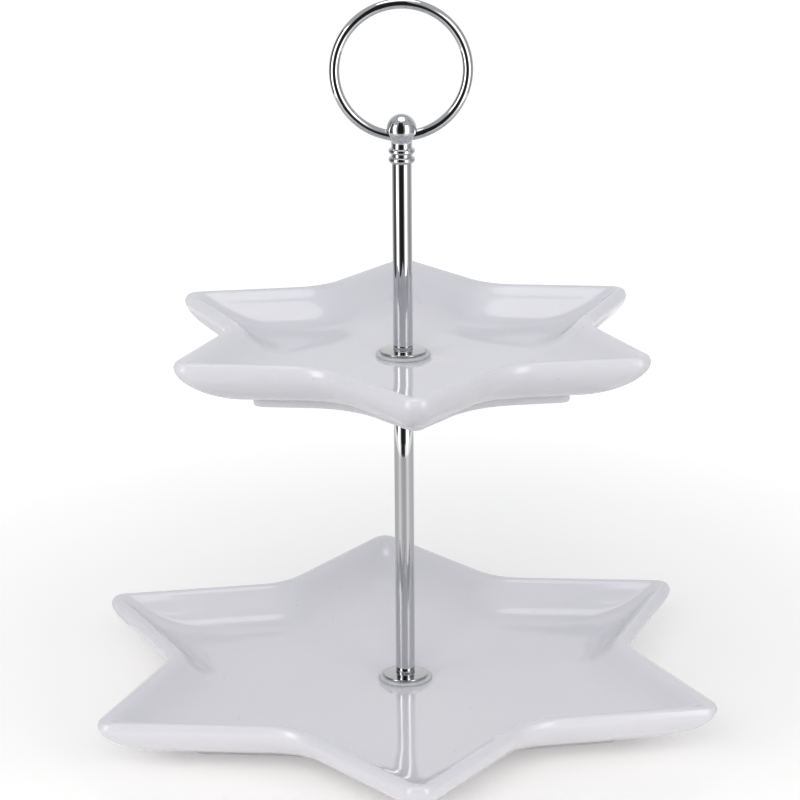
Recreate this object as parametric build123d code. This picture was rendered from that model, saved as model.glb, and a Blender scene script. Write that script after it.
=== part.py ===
"""Two-tier cake stand: two star-shaped porcelain plates clamped on a chromed rod with a ring handle.

Millimetres, +Z up. The origin lies on the rod's axis in the plane that the lower plate's foot rests on,
and one point of the lower star points along -Y. Threads are plain cylinders at their nominal size.
"""

import math
import os

from build123d import *

# Star plates
LOWER_TIP_RADIUS = 141.8
UPPER_TIP_RADIUS = 106.8
LOWER_RIM_RISE = 14.0  # rim's top above the plate's floor
UPPER_RIM_RISE = 13.5
UPPER_PLATE_TURN = -1.6  # degrees, as the upper star stands against the lower one
POINTS = 6
TIP_HALF_ANGLE = 37.0  # between a point's middle line and its edge
TIP_ROUND = 6.5
TIP_ROUND_AT_FOOT = 3.5  # the outer wall runs down to this
TIP_ROUND_INSIDE = 4.0  # at the top of the inner wall
TIP_ROUND_SPREAD = 0.5  # growth of that rounding for each millimetre further in, down to the floor
NOTCH_ROUND = 26.0
NOTCH_ROUND_SPREAD = 0.5  # growth of that rounding for each millimetre in from the outline
FLOOR_THICKNESS = 5.0
FOOT_HEIGHT = 5.0
UNDERSIDE_DROP = 1.0  # how far the floor's thickness hangs below the foot's recess, outside the foot
FOOT_WIDTH = 6.0
LOWER_FOOT_INSET = 0.31  # foot's outer edge, as a share of the star's centre-to-edge distance
UPPER_FOOT_INSET = 0.33
PLATE_HOLE_RADIUS = 5.0
LOWER_PLATE_SHIFT = (-2.3, -1.0)  # each plate sits a little off the rod's axis, within its hole's clearance
UPPER_PLATE_SHIFT = (2.5, 0.0)

# Stack height and rods
TIER_PITCH = 141.5  # from one plate's floor to the next
ROD_RADIUS = 4.0
ROD_BORE_RADIUS = 3.0
UPPER_ROD_LENGTH = 76.0
ROD_END_CHAMFER = 0.2
INSERT_LENGTH = 12.0

# Threads, M4
THREAD_RADIUS = 2.0
THREAD_CLEARANCE = 0.05
THREAD_ENGAGEMENT = 10.0
THREAD_END_CHAMFER = 0.4

# Washers
CUSHION_RADIUS = 11.1
CUSHION_THICKNESS = 1.2
CUSHION_HOLE_RADIUS = 2.6
CUSHION_EDGE_ROUND = 0.35
FLANGE_RADIUS = 9.3
FLANGE_THICKNESS = 1.0
FLANGE_EDGE_ROUND = 0.4
HUB_RADIUS = 4.0
HUB_HEIGHT = 1.8
BASE_CUSHION_THICKNESS = 1.0
BASE_WASHER_THICKNESS = 1.0
BASE_WASHER_RADIUS = 9.0
CLEARANCE_HOLE_RADIUS = 2.2

# Base screw
SCREW_HEAD_RADIUS = 5.0
SCREW_HEAD_THICKNESS = 1.4
SCREW_HEAD_ROUND = 0.9
RECESS_WIDTH = 1.1
RECESS_LENGTH = 5.0
RECESS_DEPTH = 0.9

# Finial
FINIAL_HEIGHT = 19.9
BALL_RADIUS = 6.05
NECK_RADIUS = 4.2
NECK_HEIGHT = 7.4  # where the ball's flare begins, above the rod's top
BEAD_RADIUS = 5.4
BEAD_HEIGHTS = (2.9, 2.6)
GROOVE_WIDTH = 0.8
BALL_FLARE_LEAN = 25.0  # degrees below its middle at which the ball meets its flare
FINIAL_BORE_DEPTH = 7.5
FINIAL_STUD_GAP = 0.5  # between the stud's end and the bottom of the bore

# Ring handle
RING_RADIUS = 26.55  # to the wire's middle line
WIRE_RADIUS = 2.1
RING_CENTRE_ABOVE_PIVOT = 26.2
RING_BEND_RADIUS = 8.0
RING_END_GAP = 0.8
PIVOT_ABOVE_ROD = 11.2
RING_SIDE_ANGLE = 17.0  # degrees below its middle, where the ring's arc is pinned
PIVOT_CLEARANCE = 0.06
PIVOT_MOUTH_WIDENING = 0.84
PIVOT_MOUTH_START = 3.3  # from the rod's axis
PIVOT_MOUTH_END = 6.5

# Heights worked out from the above
LOWER_FLOOR_Z = FOOT_HEIGHT + FLOOR_THICKNESS
UPPER_FLOOR_Z = LOWER_FLOOR_Z + TIER_PITCH
UPPER_FOOT_Z = UPPER_FLOOR_Z - LOWER_FLOOR_Z
STACK = CUSHION_THICKNESS + FLANGE_THICKNESS + HUB_HEIGHT
LOWER_ROD_Z = LOWER_FLOOR_Z + STACK
LOWER_ROD_TOP_Z = UPPER_FLOOR_Z - FLOOR_THICKNESS - STACK
UPPER_ROD_Z = UPPER_FLOOR_Z + STACK
UPPER_ROD_TOP_Z = UPPER_ROD_Z + UPPER_ROD_LENGTH
PIVOT_Z = UPPER_ROD_TOP_Z + PIVOT_ABOVE_ROD

# One wall of the plate in section. The outer wall is a cubic curve from under the floor to the rim, with
# its pulls as shares of its width and height. The rim and the inner wall are (inset from the star's
# outline, height as a share of the rise to the rim's top), from the underside and from the floor.
OUTER_WALL_STEPS = 8
OUTER_WALL_PULLS = (0.45, 0.42)
OUTER_WALL_TOP = 0.87
RIM = ((0.7, 0.955), (1.7, 0.99), (2.9, 1.0), (4.2, 0.975))
INNER_WALL = ((5.4, 0.91), (7.2, 0.79), (9.5, 0.60), (12.5, 0.39), (16.5, 0.19), (21.0, 0.06), (26.0, 0.0))


def edge_distance(tip_radius):
    """Distance from the centre to the star's straight edges, from the radius of its rounded points."""
    half = math.radians(TIP_HALF_ANGLE)
    sharp_tip = tip_radius + TIP_ROUND * (1 / math.sin(half) - 1)
    return sharp_tip * math.sin(half)


def star(tip_radius, inset, z, tip_round):
    """The plate's star outline as a face, with its edges moved in by inset and its points rounded."""
    distance = edge_distance(tip_radius) - inset
    half = math.radians(TIP_HALF_ANGLE)
    sector = math.pi / POINTS
    tip = distance / math.sin(half)
    notch = distance / math.sin(half + sector)
    corners = []
    rounds = []
    for k in range(POINTS):
        a = -math.pi / 2 + 2 * k * sector
        corners.append((tip * math.cos(a), tip * math.sin(a)))
        corners.append((notch * math.cos(a + sector), notch * math.sin(a + sector)))
        rounds += [tip_round, NOTCH_ROUND + NOTCH_ROUND_SPREAD * inset]
    outline = FilletPolyline(*corners, radius=rounds, close=True)
    return Plane.XY.offset(z) * make_face(outline)


def outer_wall():
    """The outer wall from foot to rim, as (share of the foot's inset, share of the rise)."""
    low, high = OUTER_WALL_PULLS
    points = []
    for k in range(OUTER_WALL_STEPS):
        t = k / (OUTER_WALL_STEPS - 1)
        inset = (1 - t) ** 3 + 3 * (1 - t) ** 2 * t * (1 - low)
        height = 3 * (1 - t) * t**2 * (1 - high) + t**3
        points.append((inset, OUTER_WALL_TOP * height))
    return points


def star_plate(tip_radius, rim_rise, foot_share):
    """A star plate on its foot ring, standing on z = 0, with the rod's hole through its middle."""
    foot_inset = foot_share * edge_distance(tip_radius)
    underside = FOOT_HEIGHT - UNDERSIDE_DROP
    floor = FOOT_HEIGHT + FLOOR_THICKNESS
    rim_top = floor + rim_rise
    depth = rim_top - underside
    faces = []
    for share, h in outer_wall():
        tip_round = TIP_ROUND + share * (TIP_ROUND_AT_FOOT - TIP_ROUND)
        faces.append(star(tip_radius, share * foot_inset, underside + h * depth, tip_round))
    for inset, h in RIM:
        tip_round = max(TIP_ROUND - inset, TIP_ROUND_INSIDE)
        faces.append(star(tip_radius, inset, underside + h * depth, tip_round))
    for inset, h in INNER_WALL:
        tip_round = TIP_ROUND_INSIDE + TIP_ROUND_SPREAD * (inset - RIM[-1][0])
        faces.append(star(tip_radius, inset, floor + h * rim_rise, tip_round))
    plate = loft(faces, ruled=True)
    foot = extrude(star(tip_radius, foot_inset, 0, TIP_ROUND_AT_FOOT), FOOT_HEIGHT)
    recess = extrude(star(tip_radius, foot_inset + FOOT_WIDTH, 0, TIP_ROUND_AT_FOOT), FOOT_HEIGHT)
    hole = Pos(0, 0, floor / 2) * Cylinder(PLATE_HOLE_RADIUS, 2 * floor)
    return plate + foot - recess - hole


def tube(outer, inner, z0, z1):
    """A ring or pipe about the rod's axis from z0 to z1."""
    length = z1 - z0
    return Pos(0, 0, (z0 + z1) / 2) * (Cylinder(outer, length) - Cylinder(inner, 2 * length))


def rod_at(radius, z0, z1):
    """A solid cylinder on the rod's axis from z0 to z1."""
    return Pos(0, 0, (z0 + z1) / 2) * Cylinder(radius, z1 - z0)


def cushion(z0, thickness=CUSHION_THICKNESS):
    """A soft clear washer that lies against the porcelain."""
    ring = tube(CUSHION_RADIUS, CUSHION_HOLE_RADIUS, z0, z0 + thickness)
    rim = ring.edges().filter_by(GeomType.CIRCLE).group_by(SortBy.RADIUS)[-1]
    return fillet(rim, CUSHION_EDGE_ROUND)


def washer(z0, thickness):
    """The plain steel washer under the base cushion."""
    return tube(BASE_WASHER_RADIUS, CLEARANCE_HOLE_RADIUS, z0, z0 + thickness)


def flange(z_seat, up=1):
    """A chromed washer with a hub that the rod ends on; up is -1 for the one under the upper plate."""
    disc = tube(FLANGE_RADIUS, CLEARANCE_HOLE_RADIUS, 0, FLANGE_THICKNESS)
    rim = disc.edges().filter_by(GeomType.CIRCLE).group_by(SortBy.RADIUS)[-1]
    disc = fillet(rim, FLANGE_EDGE_ROUND)
    hub = tube(HUB_RADIUS, CLEARANCE_HOLE_RADIUS, 0, FLANGE_THICKNESS + HUB_HEIGHT)
    both = disc + hub
    if up < 0:
        both = Rot(180, 0, 0) * both
    return Pos(0, 0, z_seat) * both


def rod(z0, z1):
    """A chromed pipe, broken at its ends' edges."""
    pipe = tube(ROD_RADIUS, ROD_BORE_RADIUS, z0, z1)
    ends = pipe.edges().filter_by(GeomType.CIRCLE).group_by(SortBy.RADIUS)[-1]
    return chamfer(ends, ROD_END_CHAMFER)


def insert(z0):
    """A threaded plug pressed into a rod's end."""
    return tube(ROD_BORE_RADIUS, THREAD_RADIUS, z0, z0 + INSERT_LENGTH)


def stud(z0, z1):
    """A length of M4 thread with pointed-off ends."""
    body = rod_at(THREAD_RADIUS - THREAD_CLEARANCE, z0, z1)
    return chamfer(body.edges().filter_by(GeomType.CIRCLE), THREAD_END_CHAMFER)


def base_screw():
    """Low-headed cross-recess screw that comes up through the lower plate into the lower rod."""
    top = FOOT_HEIGHT - BASE_CUSHION_THICKNESS - BASE_WASHER_THICKNESS
    head = rod_at(SCREW_HEAD_RADIUS, top - SCREW_HEAD_THICKNESS, top)
    head = fillet(head.edges().filter_by(GeomType.CIRCLE).sort_by(Axis.Z)[0], SCREW_HEAD_ROUND)
    slot = Box(RECESS_LENGTH, RECESS_WIDTH, 2 * RECESS_DEPTH)
    cross = slot + Rot(0, 0, 90) * slot
    head -= Pos(0, 0, top - SCREW_HEAD_THICKNESS) * cross
    return head + stud(top - THREAD_END_CHAMFER, LOWER_ROD_Z + THREAD_ENGAGEMENT)


def bead(z0, height):
    """Half-round band of the finial, as an arc from its lower to its upper edge."""
    inner = NECK_RADIUS
    return ThreePointArc((inner, z0), (BEAD_RADIUS, z0 + height / 2), (inner, z0 + height))


def finial():
    """Ball on a necked shank with two beads, bored across for the ring and tapped below."""
    low_bead, high_bead = BEAD_HEIGHTS
    second = low_bead + GROOVE_WIDTH
    ball_z = FINIAL_HEIGHT - BALL_RADIUS
    lean = math.radians(BALL_FLARE_LEAN)
    join = (BALL_RADIUS * math.cos(lean), ball_z - BALL_RADIUS * math.sin(lean))
    dome_side = (BALL_RADIUS * math.cos(lean), ball_z + BALL_RADIUS * math.sin(lean))
    outline = Line((0, 0), (NECK_RADIUS, 0))
    outline += bead(0, low_bead)
    outline += Line((NECK_RADIUS, low_bead), (NECK_RADIUS, second))
    outline += bead(second, high_bead)
    outline += Line((NECK_RADIUS, second + high_bead), (NECK_RADIUS, NECK_HEIGHT))
    outline += Spline((NECK_RADIUS, NECK_HEIGHT), join, tangents=((0, 1), (math.sin(lean), math.cos(lean))))
    outline += ThreePointArc(join, dome_side, (0, FINIAL_HEIGHT))
    outline += Line((0, FINIAL_HEIGHT), (0, 0))
    body = revolve(Plane.XZ * make_face(outline), Axis.Z)
    cross = Pos(0, 0, PIVOT_ABOVE_ROD) * Rot(0, 90, 0)
    bore_radius = WIRE_RADIUS + PIVOT_CLEARANCE
    body -= cross * Cylinder(bore_radius, 4 * BALL_RADIUS)
    mouth_length = PIVOT_MOUTH_END - PIVOT_MOUTH_START
    mouth = Cone(bore_radius, bore_radius + PIVOT_MOUTH_WIDENING, mouth_length)
    mouth = Pos(0, 0, PIVOT_MOUTH_START + mouth_length / 2) * mouth
    body -= cross * mouth
    body -= cross * Rot(180, 0, 0) * mouth
    body -= rod_at(THREAD_RADIUS, -1, FINIAL_BORE_DEPTH)
    return Pos(0, 0, UPPER_ROD_TOP_Z) * body


def ring_handle():
    """Round wire bent to a ring, its two straight ends meeting inside the finial's cross bore."""
    centre = Vector(0, RING_CENTRE_ABOVE_PIVOT)
    reach = RING_RADIUS - RING_BEND_RADIUS
    bend_x = math.sqrt(reach**2 - (RING_CENTRE_ABOVE_PIVOT - RING_BEND_RADIUS) ** 2)
    bend_centre = Vector(bend_x, RING_BEND_RADIUS)
    outward = (bend_centre - centre).normalized()
    joint = centre + outward * RING_RADIUS
    middle = bend_centre + (Vector(0, -1) + outward).normalized() * RING_BEND_RADIUS
    half = Line((RING_END_GAP / 2, 0), (bend_x, 0))
    half += ThreePointArc((bend_x, 0), middle, joint)
    top = centre + Vector(0, RING_RADIUS)
    lean = math.radians(RING_SIDE_ANGLE)
    side = centre + Vector(math.cos(lean), -math.sin(lean)) * RING_RADIUS
    half += ThreePointArc(joint, side, top)
    path = Plane.XZ * half
    section = Plane(origin=(RING_END_GAP / 2, 0, 0), z_dir=(1, 0, 0)) * Circle(WIRE_RADIUS)
    right = sweep(section, path=path)
    return Pos(0, 0, PIVOT_Z) * (right + mirror(right, Plane.YZ))


def build():
    """Every piece by its node's name, in its place."""
    lower = star_plate(LOWER_TIP_RADIUS, LOWER_RIM_RISE, LOWER_FOOT_INSET)
    upper = star_plate(UPPER_TIP_RADIUS, UPPER_RIM_RISE, UPPER_FOOT_INSET)
    underside = UPPER_FLOOR_Z - FLOOR_THICKNESS
    base_washer_z = FOOT_HEIGHT - BASE_CUSHION_THICKNESS - BASE_WASHER_THICKNESS
    finial_stud_top = UPPER_ROD_TOP_Z + FINIAL_BORE_DEPTH - FINIAL_STUD_GAP
    return {
        "lower_plate": Pos(*LOWER_PLATE_SHIFT, 0) * lower,
        "base_screw": base_screw(),
        "base_washer": washer(base_washer_z, BASE_WASHER_THICKNESS),
        "base_cushion": cushion(FOOT_HEIGHT - BASE_CUSHION_THICKNESS, BASE_CUSHION_THICKNESS),
        "lower_cushion": cushion(LOWER_FLOOR_Z),
        "lower_flange": flange(LOWER_FLOOR_Z + CUSHION_THICKNESS),
        "lower_rod": rod(LOWER_ROD_Z, LOWER_ROD_TOP_Z),
        "lower_rod_bottom_insert": insert(LOWER_ROD_Z),
        "lower_rod_top_insert": insert(LOWER_ROD_TOP_Z - INSERT_LENGTH),
        "tier_stud": stud(LOWER_ROD_TOP_Z - THREAD_ENGAGEMENT, UPPER_ROD_Z + THREAD_ENGAGEMENT),
        "under_flange": flange(underside - CUSHION_THICKNESS, up=-1),
        "under_cushion": cushion(underside - CUSHION_THICKNESS),
        "upper_plate": Pos(*UPPER_PLATE_SHIFT, UPPER_FOOT_Z) * Rot(0, 0, UPPER_PLATE_TURN) * upper,
        "upper_cushion": cushion(UPPER_FLOOR_Z),
        "upper_flange": flange(UPPER_FLOOR_Z + CUSHION_THICKNESS),
        "upper_rod": rod(UPPER_ROD_Z, UPPER_ROD_TOP_Z),
        "upper_rod_bottom_insert": insert(UPPER_ROD_Z),
        "upper_rod_top_insert": insert(UPPER_ROD_TOP_Z - INSERT_LENGTH),
        "finial_stud": stud(UPPER_ROD_TOP_Z - THREAD_ENGAGEMENT, finial_stud_top),
        "finial": finial(),
        "ring_handle": ring_handle(),
    }


os.makedirs("parts", exist_ok=True)
for node, shape in build().items():
    export_step(shape, f"parts/{node}.step")
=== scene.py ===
"""Looks of the tiered cake stand: glazed star plates, chromed rods and a ring handle."""

import math

import bpy
from mathutils import Matrix, Vector


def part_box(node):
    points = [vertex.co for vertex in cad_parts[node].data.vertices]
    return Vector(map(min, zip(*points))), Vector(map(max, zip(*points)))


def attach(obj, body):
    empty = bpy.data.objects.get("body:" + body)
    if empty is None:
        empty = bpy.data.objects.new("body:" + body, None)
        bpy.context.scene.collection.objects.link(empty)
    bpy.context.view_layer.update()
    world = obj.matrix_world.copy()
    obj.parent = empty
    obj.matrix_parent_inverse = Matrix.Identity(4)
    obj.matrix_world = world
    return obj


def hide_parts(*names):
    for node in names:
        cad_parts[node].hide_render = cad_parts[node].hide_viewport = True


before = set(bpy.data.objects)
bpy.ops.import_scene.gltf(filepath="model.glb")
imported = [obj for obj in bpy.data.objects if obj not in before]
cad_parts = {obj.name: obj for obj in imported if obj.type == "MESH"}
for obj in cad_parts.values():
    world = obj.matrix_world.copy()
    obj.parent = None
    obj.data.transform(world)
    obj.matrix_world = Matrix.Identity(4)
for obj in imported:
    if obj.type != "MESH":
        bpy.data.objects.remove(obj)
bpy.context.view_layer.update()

MM = 0.001

# Star plates, as in the frame: their sizes come from the frame's boxes, their section from here
POINTS = 6
TIP_HALF_ANGLE = math.radians(37.0)
TIP_ROUND = 6.5 * MM
TIP_ROUND_AT_FOOT = 3.5 * MM
TIP_ROUND_INSIDE = 4.0 * MM
TIP_ROUND_SPREAD = 0.5
NOTCH_ROUND = 26.0 * MM
NOTCH_ROUND_SPREAD = 0.5
FLOOR_THICKNESS = 5.0 * MM
FOOT_HEIGHT = 5.0 * MM
FOOT_WIDTH = 6.0 * MM
UNDERSIDE_DROP = 1.0 * MM
PLATE_HOLE_RADIUS = 5.0 * MM
LOWER_FOOT_INSET = 0.31
UPPER_FOOT_INSET = 0.33
UPPER_PLATE_TURN = math.radians(-1.6)
FOOT_EDGE_ROUND = 0.8 * MM
HOLE_EDGE_ROUND = 0.8 * MM
RECESS_CORNER = 1.6 * MM
FLOOR_CIRCLE_RADIUS = 9.0 * MM  # the floor runs in from its star edge towards this circle

# One wall of the plate in section
OUTER_WALL_STEPS = 19
OUTER_WALL_PULLS = (0.45, 0.42)
OUTER_WALL_TOP = 0.87
SECTION_STEPS = 5  # between two points of the section's smoothed line

# The rim and the inner wall are (inset in mm, height as a share of the rise to the rim's top), from the
# underside and from the floor
RIM = ((0.0, 0.87), (0.7, 0.955), (1.7, 0.99), (2.9, 1.0), (4.2, 0.975), (5.4, 0.937))
INNER_WALL = (
    (5.4, 0.91), (7.2, 0.79), (9.5, 0.60), (12.5, 0.39), (16.5, 0.19), (21.0, 0.06), (26.0, 0.0))

# Washers and rods: what the frame's boxes don't say
CUSHION_HOLE_RADIUS = 2.6 * MM
CUSHION_EDGE_ROUND = 0.4 * MM
CLEARANCE_HOLE_RADIUS = 2.2 * MM
HUB_RADIUS = 4.0 * MM
HUB_HEIGHT = 1.8 * MM
ROD_BORE_RADIUS = 3.0 * MM
ROD_END_ROUND = 0.2 * MM
THREAD_PITCH = 0.7 * MM

# Ring handle, as bent in the frame
RING_CENTRE_ABOVE_PIVOT = 26.2 * MM
RING_BEND_RADIUS = 8.0 * MM
RING_END_GAP = 0.8 * MM

# Camera
CAMERA_TARGET = Vector((-0.00145, 0.0, 0.13229))
CAMERA_DISTANCE = 1.2
CAMERA_ELEVATION = math.radians(17.07)
CAMERA_TURN = math.radians(-2.86)
CAMERA_ROLL = math.radians(-0.435)
CAMERA_LENS = 131.8

# Studio: brightness of what the glaze and chrome mirror, by degrees round the stand from the camera
WORLD_STRENGTH = 0.58
WORLD_COLOUR = (0.96, 0.985, 1.03)
# The table's glow from inside is painted light: it also lights the plates' undersides.
FLOOR_GLOW = 0.5
FLOOR_GLOW_SHADOWED_SHARE = 0.3  # share of it under the stand: the dimmer glow there is a painted shadow
GLOW_SCALE = 5.0
WALL_RADIUS = 0.5
WALL_HEIGHT = 0.55
WALL_GLOW = (
    (-180, 1.0), (-150, 0.85), (-122, 0.45), (-104, 0.10), (-82, 0.09), (-73, 0.32), (-66, 1.2), (-60, 5.0),
    (-51, 5.0), (-43, 1.2), (-36, 0.4), (-27, 0.02), (12, 0.02), (20, 0.22), (30, 1.1), (38, 4.6), (47, 4.6),
    (55, 1.3), (66, 0.75), (80, 0.44), (98, 0.38), (116, 0.55), (140, 0.85), (160, 1.0), (180, 1.0))
TABLE_GLOW = (
    (-180, 0.7), (-95, 0.64), (-70, 0.75), (-58, 0.97), (-46, 0.97), (-25, 0.62), (0, 0.54), (18, 0.62),
    (34, 1.0), (48, 1.0), (66, 0.75), (90, 0.68), (180, 0.7))


# ---------------------------------------------------------------- materials

def material(name, **values):
    """A Principled material with its constant values on the shader's own sockets."""
    mat = bpy.data.materials.new(name)
    mat.use_nodes = True
    shader = mat.node_tree.nodes["Principled BSDF"]
    for key, value in values.items():
        socket = shader.inputs[key.replace("_", " ")]
        if socket.type == "RGBA":
            value = (*value, 1.0)
        socket.default_value = value
    return mat, mat.node_tree, shader


def noise(tree, scale, detail=2.0, stretch=None):
    """Noise over the object's own coordinates, in metres, stretched if asked."""
    coordinates = tree.nodes.new("ShaderNodeTexCoord")
    texture = tree.nodes.new("ShaderNodeTexNoise")
    texture.inputs["Scale"].default_value = scale
    texture.inputs["Detail"].default_value = detail
    mapping = tree.nodes.new("ShaderNodeMapping")
    mapping.inputs["Scale"].default_value = stretch or (1, 1, 1)
    tree.links.new(coordinates.outputs["Object"], mapping.inputs["Vector"])
    tree.links.new(mapping.outputs["Vector"], texture.inputs["Vector"])
    return texture


def ranged(tree, source, low, high, from_low=0.0, from_high=1.0):
    """A texture's value mapped to the range low to high."""
    node = tree.nodes.new("ShaderNodeMapRange")
    node.inputs["From Min"].default_value = from_low
    node.inputs["From Max"].default_value = from_high
    node.inputs["To Min"].default_value = low
    node.inputs["To Max"].default_value = high
    tree.links.new(source, node.inputs["Value"])
    return node.outputs["Result"]


def bump(tree, height, distance, strength=1.0, onto=None):
    """A bump node, laid over another one if asked."""
    node = tree.nodes.new("ShaderNodeBump")
    node.inputs["Distance"].default_value = distance
    node.inputs["Strength"].default_value = strength
    tree.links.new(height, node.inputs["Height"])
    if onto:
        tree.links.new(onto, node.inputs["Normal"])
    return node.outputs["Normal"]


def tint(tree, value, colours):
    """A colour ramp from (position, colour) pairs."""
    ramp = tree.nodes.new("ShaderNodeValToRGB")
    while len(ramp.color_ramp.elements) < len(colours):
        ramp.color_ramp.elements.new(0.5)
    for element, (position, colour) in zip(ramp.color_ramp.elements, colours):
        element.position = position
        element.color = (*colour, 1.0)
    tree.links.new(value, ramp.inputs["Fac"])
    return ramp.outputs["Color"]


def porcelain(name, low, high):
    """White glazed porcelain: a cool body under a slightly wavy glaze, with rare faint pinholes."""
    mat, tree, shader = material(
        name, Subsurface_Weight=0.1, Subsurface_Radius=(0.003, 0.003, 0.0035), Subsurface_Scale=1.0, IOR=1.5)
    cloud = noise(tree, 9.0, 3.0)
    body = tint(tree, cloud.outputs["Fac"], ((0.3, low), (0.7, high)))
    pits = noise(tree, 420.0, 0.0)
    speck = ranged(tree, pits.outputs["Fac"], 0.0, 1.0, 0.84, 0.89)
    specks = tint(tree, speck, ((0.0, (1, 1, 1)), (1.0, (0.86, 0.85, 0.83))))
    mix = tree.nodes.new("ShaderNodeMix")
    mix.data_type = "RGBA"
    mix.blend_type = "MULTIPLY"
    mix.inputs["Factor"].default_value = 1.0
    tree.links.new(body, mix.inputs[6])
    tree.links.new(specks, mix.inputs[7])
    tree.links.new(mix.outputs[2], shader.inputs["Base Color"])
    patches = noise(tree, 30.0, 2.0)
    tree.links.new(ranged(tree, patches.outputs["Fac"], 0.03, 0.08), shader.inputs["Roughness"])
    wave = noise(tree, 16.0, 1.5)
    ripple = noise(tree, 160.0, 1.0)
    slow = bump(tree, wave.outputs["Fac"], 0.0008, 0.5)
    tree.links.new(bump(tree, ripple.outputs["Fac"], 0.00003, 0.5, slow), shader.inputs["Normal"])
    return mat


def chrome(name, grain=(60.0, 60.0, 4.0), shade=1.0):
    """Mirror-polished chrome with faint wipe marks along the grain; the last argument scales its colour down
    for a darker copy, as painted shade.
    """
    mat, tree, shader = material(name, Metallic=1.0)
    smears = noise(tree, 6.0, 3.0, grain)
    # painted shade: both tones are scaled down when a darker copy of the chrome is asked for
    dull, clean = ([shade * part for part in colour] for colour in ((0.58, 0.585, 0.60), (0.62, 0.62, 0.63)))
    tone = tint(tree, smears.outputs["Fac"], ((0.3, dull), (0.7, clean)))
    tree.links.new(tone, shader.inputs["Base Color"])
    marks = noise(tree, 30.0, 4.0, grain)
    tree.links.new(ranged(tree, marks.outputs["Fac"], 0.02, 0.07, 0.3, 0.75), shader.inputs["Roughness"])
    tree.links.new(bump(tree, marks.outputs["Fac"], 0.000004, 0.3), shader.inputs["Normal"])
    return mat


def soft_plastic(name):
    """Clear soft washer, milky in the thickness."""
    mat, tree, shader = material(
        name, Transmission_Weight=0.35, IOR=1.45, Subsurface_Weight=0.2,
        Subsurface_Radius=(0.002, 0.002, 0.002), Subsurface_Scale=1.0)
    cloud = noise(tree, 200.0, 2.0)
    milk = tint(tree, cloud.outputs["Fac"], ((0.3, (0.80, 0.81, 0.82)), (0.7, (0.88, 0.88, 0.89))))
    tree.links.new(milk, shader.inputs["Base Color"])
    tree.links.new(ranged(tree, cloud.outputs["Fac"], 0.22, 0.38), shader.inputs["Roughness"])
    return mat


def zinc(name, thread_pitch=0.0):
    """Zinc-plated steel of the hidden hardware, ridged along Z where it is threaded."""
    mat, tree, shader = material(name, Metallic=1.0)
    blotch = noise(tree, 300.0, 4.0)
    tone = tint(tree, blotch.outputs["Fac"], ((0.3, (0.46, 0.46, 0.47)), (0.7, (0.62, 0.62, 0.61))))
    tree.links.new(tone, shader.inputs["Base Color"])
    tree.links.new(ranged(tree, blotch.outputs["Fac"], 0.22, 0.4), shader.inputs["Roughness"])
    grain = bump(tree, blotch.outputs["Fac"], 0.00002, 0.4)
    if thread_pitch:
        ridges = tree.nodes.new("ShaderNodeTexWave")
        ridges.bands_direction = "Z"
        ridges.inputs["Scale"].default_value = math.pi / 10 / thread_pitch
        coordinates = tree.nodes.new("ShaderNodeTexCoord")
        tree.links.new(coordinates.outputs["Object"], ridges.inputs["Vector"])
        grain = bump(tree, ridges.outputs["Fac"], 0.0003, 1.0, grain)
    tree.links.new(grain, shader.inputs["Normal"])
    return mat


# The same porcelain twice: the lower plate's copy is a little darker, as painted shade from the upper plate
# over it.
PORCELAIN_LOWER_SHADED = porcelain("lower_porcelain_glaze_painted_shade", (0.73, 0.72, 0.755), (0.755, 0.745, 0.77))
PORCELAIN_UPPER = porcelain("upper_porcelain_glaze", (0.765, 0.755, 0.79), (0.785, 0.775, 0.80))
ROD_CHROME = chrome("rod_chrome_polish")
# The flanges' chrome is the same chrome darkened to 0.72, as painted shade.
FLANGE_CHROME_SHADED = chrome("flange_chrome_polish_painted_shade", (20.0, 20.0, 20.0), 0.72)
FINIAL_CHROME = chrome("finial_chrome_polish", (20.0, 20.0, 20.0))
RING_CHROME = chrome("ring_chrome_polish", (20.0, 20.0, 20.0))
CLEAR_CUSHION = soft_plastic("clear_cushion_plastic")
THREAD_STEEL = zinc("thread_steel_zinc", THREAD_PITCH)
BASE_STEEL = zinc("base_steel_zinc")


# ---------------------------------------------------------------- mesh tools

def make_piece(name, vertices, faces, mat, body, node, sharp=35.0):
    """One visible piece from its mesh, riding on its body in place of its CAD node."""
    mesh = bpy.data.meshes.new(name)
    mesh.from_pydata([tuple(v) for v in vertices], [], faces)
    mesh.validate()
    mesh.materials.append(mat)
    mesh.shade_smooth()
    mesh.set_sharp_from_angle(angle=math.radians(sharp))
    piece = bpy.data.objects.new(name, mesh)
    bpy.context.scene.collection.objects.link(piece)
    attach(piece, body)
    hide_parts(node)
    return piece


def ring_faces(rings, count, closed=False):
    """Quads between rings of count vertices each, laid one after the other."""
    faces = []
    for r in range(rings if closed else rings - 1):
        a, b = r * count, (r + 1) % rings * count
        for j in range(count):
            k = (j + 1) % count
            faces.append((a + j, a + k, b + k, b + j))
    return faces


def bezier(a, b, c, d, t):
    return (1 - t) ** 3 * a + 3 * (1 - t) ** 2 * t * b + 3 * (1 - t) * t**2 * c + t**3 * d


def smooth_line(points, steps):
    """A Catmull-Rom curve through (x, y) points."""
    line = []
    last = len(points) - 1
    for i in range(last):
        p0, p1, p2, p3 = (Vector(points[min(max(i + k, 0), last)]) for k in (-1, 0, 1, 2))
        for s in range(steps):
            t = s / steps
            line.append(0.5 * (2 * p1 + (p2 - p0) * t + (2 * p0 - 5 * p1 + 4 * p2 - p3) * t**2
                               + (3 * p1 - 3 * p2 + p3 - p0) * t**3))
    line.append(Vector(points[-1]))
    return [tuple(p) for p in line]


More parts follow.
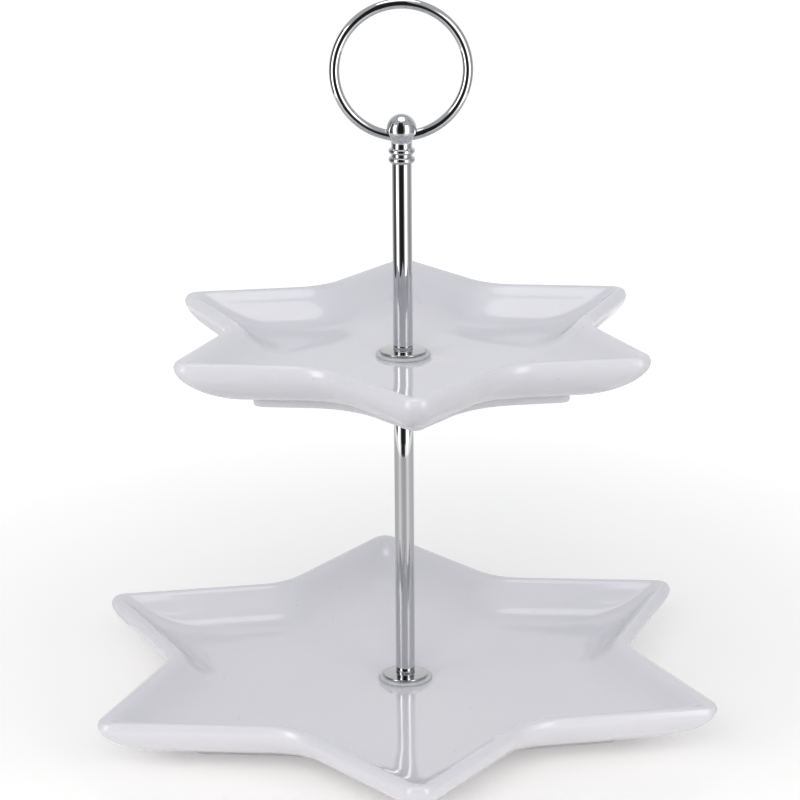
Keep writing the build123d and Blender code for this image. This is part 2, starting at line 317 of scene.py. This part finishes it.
def rounded(corners, radii, steps=5):
    """A closed (radius, height) outline with its corners rounded."""
    line = []
    count = len(corners)
    for i in range(count):
        before, here, after = (Vector(corners[k % count]) for k in (i - 1, i, i + 1))
        radius = radii[i]
        if not radius:
            line.append(tuple(here))
            continue
        u, v = (before - here).normalized(), (after - here).normalized()
        half = u.angle(v) / 2
        reach = radius / math.tan(half)
        centre = here + (u + v).normalized() * radius / math.sin(half)
        start, end = here + u * reach - centre, here + v * reach - centre
        sweep = start.angle_signed(end)
        for s in range(steps + 1):
            line.append(tuple(centre + Matrix.Rotation(-sweep * s / steps, 2) @ start))
    return line


def turned(outline, segments=96, axis=(0.0, 0.0)):
    """Vertices and faces of a closed (radius, height) outline turned about a vertical axis."""
    vertices = []
    for radius, z in outline:
        for k in range(segments):
            a = 2 * math.pi * k / segments
            vertices.append((axis[0] + radius * math.cos(a), axis[1] + radius * math.sin(a), z))
    return vertices, ring_faces(len(outline), segments, closed=True)


# ---------------------------------------------------------------- star plates

def star_ring(distance, tip_round, notch_round, arc=12, edge=10):
    """Points round the star whose straight edges lie at distance from its centre."""
    sector = math.pi / POINTS
    tip = distance / math.sin(TIP_HALF_ANGLE)
    notch = distance / math.sin(TIP_HALF_ANGLE + sector)
    corners, rounds = [], []
    for k in range(POINTS):
        a = -math.pi / 2 + 2 * k * sector
        corners.append(Vector((tip * math.cos(a), tip * math.sin(a))))
        corners.append(Vector((notch * math.cos(a + sector), notch * math.sin(a + sector))))
        rounds += [tip_round, notch_round]
    points, ends = [], []
    for i, here in enumerate(corners):
        u = (corners[i - 1] - here).normalized()
        v = (corners[(i + 1) % len(corners)] - here).normalized()
        half = u.angle(v) / 2
        reach = rounds[i] / math.tan(half)
        centre = here + (u + v).normalized() * rounds[i] / math.sin(half)
        start, end = here + u * reach - centre, here + v * reach - centre
        sweep = start.angle_signed(end)
        ends.append([centre + Matrix.Rotation(-sweep * s / arc, 2) @ start for s in range(arc + 1)])
    for i, stretch in enumerate(ends):
        points += stretch
        following = ends[(i + 1) % len(ends)][0]
        points += [stretch[-1].lerp(following, s / edge) for s in range(1, edge)]
    return points


def star_plate(name, mat, body, foot_share, turn):
    """A star plate with a rolled rim, a dished wall, a foot ring and the rod's hole."""
    low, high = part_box(name)
    centre = Vector(((low[0] + high[0]) / 2, (low[1] + high[1]) / 2))
    base, rim_top = low[2], high[2]
    half_length = (high[1] - low[1]) / 2
    tip_radius = (half_length - TIP_ROUND) / math.cos(turn) + TIP_ROUND
    sharp_tip = tip_radius + TIP_ROUND * (1 / math.sin(TIP_HALF_ANGLE) - 1)
    distance = sharp_tip * math.sin(TIP_HALF_ANGLE)
    foot_inset = foot_share * distance
    underside = base + FOOT_HEIGHT - UNDERSIDE_DROP
    recess = base + FOOT_HEIGHT
    floor = recess + FLOOR_THICKNESS
    depth, rise = rim_top - underside, rim_top - floor

    rings = []

    def ring(inset, z, tip_round):
        points = star_ring(distance - inset, tip_round, NOTCH_ROUND + NOTCH_ROUND_SPREAD * inset)
        rings.append([(p.x, p.y, z) for p in points])

    def circle(radius, z, like):
        angles = [math.atan2(y, x) for x, y, _ in like]
        rings.append([(radius * math.cos(a), radius * math.sin(a), z) for a in angles])

    # up the outer wall from the foot, over the rim and down the inner wall
    ring(foot_inset, base + FOOT_EDGE_ROUND, TIP_ROUND_AT_FOOT)
    ring(foot_inset, underside - 0.5 * FOOT_EDGE_ROUND, TIP_ROUND_AT_FOOT)
    low_pull, high_pull = OUTER_WALL_PULLS
    for k in range(1, OUTER_WALL_STEPS):
        t = k / OUTER_WALL_STEPS
        share = bezier(1.0, 1 - low_pull, 0.0, 0.0, t)
        tip_round = TIP_ROUND + share * (TIP_ROUND_AT_FOOT - TIP_ROUND)
        height = OUTER_WALL_TOP * bezier(0.0, 0.0, 1 - high_pull, 1.0, t)
        ring(share * foot_inset, underside + depth * height, tip_round)
    for inset, height in smooth_line(RIM, SECTION_STEPS)[:-1]:
        ring(inset * MM, underside + depth * height, max(TIP_ROUND - inset * MM, TIP_ROUND_INSIDE))
    for inset, height in smooth_line(INNER_WALL, SECTION_STEPS):
        spread = TIP_ROUND_INSIDE + TIP_ROUND_SPREAD * (inset - INNER_WALL[0][0]) * MM
        ring(inset * MM, floor + rise * height, spread)
    # in over the floor to the hole, through it, and out under the recess to the foot
    edge = rings[-1]
    for share in (0.75, 0.5, 0.25):
        inward = (1 - share) * FLOOR_CIRCLE_RADIUS
        angles = [math.atan2(y, x) for x, y, _ in edge]
        rings.append([
            (x * share + inward * math.cos(a), y * share + inward * math.sin(a), floor)
            for (x, y, _), a in zip(edge, angles)])
    circle(PLATE_HOLE_RADIUS + HOLE_EDGE_ROUND, floor, edge)
    circle(PLATE_HOLE_RADIUS + 0.25 * HOLE_EDGE_ROUND, floor - 0.25 * MM, edge)
    circle(PLATE_HOLE_RADIUS, floor - HOLE_EDGE_ROUND, edge)
    circle(PLATE_HOLE_RADIUS, recess + HOLE_EDGE_ROUND, edge)
    circle(PLATE_HOLE_RADIUS + HOLE_EDGE_ROUND, recess, edge)
    inner_foot = foot_inset + FOOT_WIDTH
    inner_notch = NOTCH_ROUND + NOTCH_ROUND_SPREAD * inner_foot
    points = star_ring(distance - inner_foot - 2 * MM, TIP_ROUND_AT_FOOT, inner_notch)
    for share in (0.35, 0.65):
        rings.append([(p.x * share, p.y * share, recess) for p in points])
    ring(inner_foot + RECESS_CORNER, recess, TIP_ROUND_AT_FOOT)
    ring(inner_foot + 0.4 * MM, recess - 0.4 * MM, TIP_ROUND_AT_FOOT)
    ring(inner_foot, recess - 1.4 * MM, TIP_ROUND_AT_FOOT)
    ring(inner_foot, base + FOOT_EDGE_ROUND, TIP_ROUND_AT_FOOT)
    ring(inner_foot - 0.25 * MM, base + 0.25 * MM, TIP_ROUND_AT_FOOT)
    ring(inner_foot - FOOT_EDGE_ROUND, base, TIP_ROUND_AT_FOOT)
    ring(foot_inset + FOOT_EDGE_ROUND, base, TIP_ROUND_AT_FOOT)
    ring(foot_inset + 0.25 * MM, base + 0.25 * MM, TIP_ROUND_AT_FOOT)

    cosine, sine = math.cos(turn), math.sin(turn)
    vertices = [
        (centre.x + x * cosine - y * sine, centre.y + x * sine + y * cosine, z)
        for points in rings for x, y, z in points]
    faces = ring_faces(len(rings), len(rings[0]), closed=True)
    return make_piece(f"{name}_glazed", vertices, faces, mat, body, name, 50.0)


# ---------------------------------------------------------------- hardware

def turned_piece(node, mat, body, outline, sharp=40.0, segments=96):
    vertices, faces = turned(outline, segments)
    return make_piece(f"{node}_turned", vertices, faces, mat, body, node, sharp)


def washer(node, mat, body, inner, edge):
    """A flat ring with rounded outer edges."""
    low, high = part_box(node)
    outer = (high[0] - low[0]) / 2
    corners = [(inner, low[2]), (outer, low[2]), (outer, high[2]), (inner, high[2])]
    return turned_piece(node, mat, body, rounded(corners, [0.1 * MM, edge, edge, 0.1 * MM]))


def flange(node, body, up=True):
    """Washer with a hub and a small fillet where the hub rises."""
    low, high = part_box(node)
    outer = (high[0] - low[0]) / 2
    inner = CLEARANCE_HOLE_RADIUS
    bottom, step, top = low[2], high[2] - HUB_HEIGHT, high[2]
    corners = [
        (inner, bottom), (outer, bottom), (outer, step), (HUB_RADIUS, step), (HUB_RADIUS, top), (inner, top)]
    radii = [0.0, 0.35 * MM, 0.4 * MM, 0.25 * MM, 0.12 * MM, 0.0]
    if not up:
        corners = [(r, bottom + top - z) for r, z in reversed(corners)]
        radii = radii[::-1]
    return turned_piece(node, FLANGE_CHROME_SHADED, body, rounded(corners, radii))


def rod(node, body):
    """Chromed pipe with broken edges."""
    low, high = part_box(node)
    outer = (high[0] - low[0]) / 2
    inner = ROD_BORE_RADIUS
    corners = [(inner, low[2]), (outer, low[2]), (outer, high[2]), (inner, high[2])]
    outline = rounded(corners, [0.0, ROD_END_ROUND, ROD_END_ROUND, 0.0])
    return turned_piece(node, ROD_CHROME, body, outline)


def swept_wire(path, radius, sides=28):
    """Vertices and faces of a round wire along a path in the XZ plane, closed by its two flat ends."""
    vertices = []
    for i, here in enumerate(path):
        along = (path[min(i + 1, len(path) - 1)] - path[max(i - 1, 0)]).normalized()
        outward = Vector((along.z, 0, -along.x))
        for k in range(sides):
            a = 2 * math.pi * k / sides
            vertices.append(here + radius * (math.cos(a) * outward + math.sin(a) * Vector((0, 1, 0))))
    faces = ring_faces(len(path), sides)
    faces.append(tuple(range(sides)))
    faces.append(tuple(reversed(range(len(vertices) - sides, len(vertices)))))
    return vertices, faces


def ring_handle():
    """The handle's wire: a ring whose two ends bend inward and lie in the finial's cross bore."""
    low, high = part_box("ring_handle")
    wire = (high[1] - low[1]) / 2
    ring = (high[0] - low[0]) / 2 - wire
    pivot_z = high[2] - wire - ring - RING_CENTRE_ABOVE_PIVOT
    reach = ring - RING_BEND_RADIUS
    bend_x = math.sqrt(reach**2 - (RING_CENTRE_ABOVE_PIVOT - RING_BEND_RADIUS) ** 2)
    turn = math.atan2(RING_BEND_RADIUS - RING_CENTRE_ABOVE_PIVOT, bend_x)
    right = [(RING_END_GAP / 2, 0.0), (0.6 * bend_x, 0.0)]
    for k in range(17):
        a = -math.pi / 2 + (turn + math.pi / 2) * k / 16
        x = bend_x + RING_BEND_RADIUS * math.cos(a)
        right.append((x, RING_BEND_RADIUS + RING_BEND_RADIUS * math.sin(a)))
    for k in range(1, 97):
        a = turn + (math.pi / 2 - turn) * k / 96
        right.append((ring * math.cos(a), RING_CENTRE_ABOVE_PIVOT + ring * math.sin(a)))
    halves = []
    for side in (1, -1):
        halves.append([Vector((side * x, 0.0, pivot_z + z)) for x, z in right])
    path = halves[0] + halves[1][-2::-1]
    vertices, faces = swept_wire(path, wire)
    make_piece("ring_handle_wire", vertices, faces, RING_CHROME, "ring", "ring_handle", 50.0)


# ---------------------------------------------------------------- studio

def stage_mesh(name, vertices, faces, mat):
    mesh = bpy.data.meshes.new(name)
    mesh.from_pydata(vertices, [], faces)
    mesh.materials.append(mat)
    item = bpy.data.objects.new(name, mesh)
    bpy.context.scene.collection.objects.link(item)
    return item


def floor():
    """Plain pale table that glows a little from inside like a studio's light table, as painted light, and
    glows least under the stand, as a painted shadow.
    """
    size = 12.0
    mat, tree, shader = material("floor_paper_painted_glow", Roughness=0.6, Emission_Strength=FLOOR_GLOW)
    cloud = noise(tree, 3.0, 2.0)
    tone = tint(tree, cloud.outputs["Fac"], ((0.3, (0.93, 0.91, 0.88)), (0.7, (0.95, 0.93, 0.90))))
    tree.links.new(tone, shader.inputs["Base Color"])
    coordinates = tree.nodes.new("ShaderNodeTexCoord")
    length = tree.nodes.new("ShaderNodeVectorMath")
    length.operation = "LENGTH"
    tree.links.new(coordinates.outputs["Object"], length.inputs[0])
    # painted shadow: the glow falls to a share of itself near the stand
    near = (FLOOR_GLOW_SHADOWED_SHARE,) * 3
    glow_with_painted_shadow = tint(tree, length.outputs["Value"], ((0.14, near), (0.5, (1.0, 1.0, 1.0))))
    tree.links.new(glow_with_painted_shadow, shader.inputs["Emission Color"])
    corners = [(-size, -size, 0), (size, -size, 0), (size, size, 0), (-size, size, 0)]
    stage_mesh("floor", corners, [(0, 1, 2, 3)], mat)


def glow(name, stops):
    """Light given off by a card round the stand, by its angle from the camera's side."""
    mat, tree, shader = material(
        name, Base_Color=(0.0, 0.0, 0.0), Roughness=1.0, Emission_Strength=GLOW_SCALE)
    shader.inputs["Specular IOR Level"].default_value = 0.0
    coordinates = tree.nodes.new("ShaderNodeTexCoord")
    split = tree.nodes.new("ShaderNodeSeparateXYZ")
    tree.links.new(coordinates.outputs["Object"], split.inputs["Vector"])
    forward = tree.nodes.new("ShaderNodeMath")
    forward.operation = "MULTIPLY"
    forward.inputs[1].default_value = -1.0
    tree.links.new(split.outputs["Y"], forward.inputs[0])
    angle = tree.nodes.new("ShaderNodeMath")
    angle.operation = "ARCTAN2"
    tree.links.new(split.outputs["X"], angle.inputs[0])
    tree.links.new(forward.outputs["Value"], angle.inputs[1])
    share = ranged(tree, angle.outputs["Value"], 0.0, 1.0, -math.pi, math.pi)
    colours = [((degrees + 180) / 360, (value / GLOW_SCALE,) * 3) for degrees, value in stops]
    tree.links.new(tint(tree, share, colours), shader.inputs["Emission Color"])
    return mat


def mirrored_only(item):
    """Leave an item to be seen in reflections alone."""
    item.visible_camera = False
    item.visible_diffuse = False
    item.visible_transmission = False
    item.visible_shadow = False
    item.rotation_euler = (0, 0, CAMERA_TURN)


def band(name, mat, inner, outer, start=-180.0, end=180.0):
    """A card swept round the stand between two (radius, height) edges, from one angle to another."""
    steps = 96
    vertices = []
    for radius, z in (inner, outer):
        for k in range(steps + 1):
            a = math.radians(start + (end - start) * k / steps)
            vertices.append((radius * math.sin(a), -radius * math.cos(a), z))
    count = steps + 1
    faces = [(k, k + 1, count + k + 1, count + k) for k in range(steps)]
    mirrored_only(stage_mesh(name, vertices, faces, mat))


def softbox(name, angle, distance, height, width, tall, watts, aim):
    """A soft light beside the stand, at an angle from the camera's side."""
    light = bpy.data.lights.new(name, "AREA")
    light.shape = "RECTANGLE"
    light.size, light.size_y = width, tall
    light.energy = watts
    lamp = bpy.data.objects.new(name, light)
    a = math.radians(angle) + CAMERA_TURN
    lamp.location = (distance * math.sin(a), -distance * math.cos(a), height)
    lamp.rotation_euler = (Vector(aim) - lamp.location).to_track_quat("-Z", "Y").to_euler()
    lamp.visible_camera = False
    lamp.visible_glossy = False
    bpy.context.scene.collection.objects.link(lamp)


def front_flag():
    """A dark cloth before the stand, clear from below, that keeps the table's light off the undersides."""
    cloth, tree, shader = material("flag_cloth", Base_Color=(0.03, 0.03, 0.03), Roughness=1.0)
    sides = tree.nodes.new("ShaderNodeNewGeometry")
    upper_side = tree.nodes.new("ShaderNodeMath")
    upper_side.operation = "SUBTRACT"
    upper_side.inputs[0].default_value = 1.0
    tree.links.new(sides.outputs["Backfacing"], upper_side.inputs[1])
    tree.links.new(upper_side.outputs["Value"], shader.inputs["Alpha"])
    near, far, half, z = -0.27, -1.6, 1.3, 0.0008
    flag = stage_mesh("front_flag", [(-half, far, z), (half, far, z), (half, near, z), (-half, near, z)],
                      [(0, 1, 2, 3)], cloth)
    flag.visible_camera = False
    flag.visible_glossy = False


def studio():
    world = bpy.data.worlds.new("studio")
    world.use_nodes = True
    world.node_tree.nodes["Background"].inputs["Color"].default_value = (*WORLD_COLOUR, 1.0)
    world.node_tree.nodes["Background"].inputs["Strength"].default_value = WORLD_STRENGTH
    bpy.context.scene.world = world
    bpy.context.scene.view_settings.view_transform = "Standard"
    floor()
    band("glow_wall", glow("wall_glow", WALL_GLOW), (WALL_RADIUS, 0.0), (WALL_RADIUS, WALL_HEIGHT))
    band("glow_table", glow("table_glow", TABLE_GLOW), (0.15, 0.0005), (0.44, 0.0005))
    front_flag()
    black = material("black_card", Base_Color=(0.01, 0.01, 0.01), Roughness=1.0)[0]
    band("front_card", black, (WALL_RADIUS, WALL_HEIGHT), (WALL_RADIUS, 1.0), -31.0, 14.0)
    band("front_foot", black, (0.44, 0.001), (WALL_RADIUS, 0.001), -31.0, 14.0)
    top = material("top_glow", Emission_Color=(1.0, 1.0, 1.0), Emission_Strength=2.0)[0]
    band("top_card", top, (0.0, 1.4), (0.45, 1.4))
    softbox("left_strip", -57.0, 0.75, 0.45, 0.35, 0.7, 0.7, (0, 0, 0.15))
    softbox("right_strip", 41.0, 0.75, 0.45, 0.35, 0.7, 0.7, (0, 0, 0.15))
    softbox("front_fill", -8.0, 0.95, 0.7, 0.7, 0.5, 3.6, (0, 0, 0.12))


def camera():
    data = bpy.data.cameras.new("camera")
    data.lens = CAMERA_LENS
    data.sensor_width = 36.0
    eye = bpy.data.objects.new("camera", data)
    tilt = Matrix.Rotation(math.pi / 2 - CAMERA_ELEVATION, 4, "X")
    roll = Matrix.Rotation(CAMERA_ROLL, 4, "Z")
    back = Matrix.Translation((0, 0, CAMERA_DISTANCE))
    turn = Matrix.Rotation(CAMERA_TURN, 4, "Z")
    eye.matrix_world = turn @ Matrix.Translation(CAMERA_TARGET) @ tilt @ back @ roll
    bpy.context.scene.collection.objects.link(eye)
    bpy.context.scene.camera = eye


star_plate("lower_plate", PORCELAIN_LOWER_SHADED, "lower_plate", LOWER_FOOT_INSET, 0.0)
star_plate("upper_plate", PORCELAIN_UPPER, "upper_plate", UPPER_FOOT_INSET, UPPER_PLATE_TURN)
for node, body in (("lower_cushion", "lower_rod"), ("upper_cushion", "upper_collar"),
                   ("under_cushion", "lower_rod"), ("base_cushion", "base_washers")):
    washer(node, CLEAR_CUSHION, body, CUSHION_HOLE_RADIUS, CUSHION_EDGE_ROUND)
washer("base_washer", BASE_STEEL, "base_washers", CLEARANCE_HOLE_RADIUS, 0.15 * MM)
flange("lower_flange", "lower_rod")
flange("upper_flange", "upper_collar")
flange("under_flange", "lower_rod", up=False)
rod("lower_rod", "lower_rod")
rod("upper_rod", "upper_rod")
ring_handle()
KEPT = {
    "finial": FINIAL_CHROME, "base_screw": BASE_STEEL,
    "tier_stud": THREAD_STEEL, "finial_stud": THREAD_STEEL,
    "lower_rod_bottom_insert": THREAD_STEEL, "lower_rod_top_insert": THREAD_STEEL,
    "upper_rod_bottom_insert": THREAD_STEEL, "upper_rod_top_insert": THREAD_STEEL}
for node, mat in KEPT.items():
    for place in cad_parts[node].material_slots:
        place.material = mat
studio()
camera()
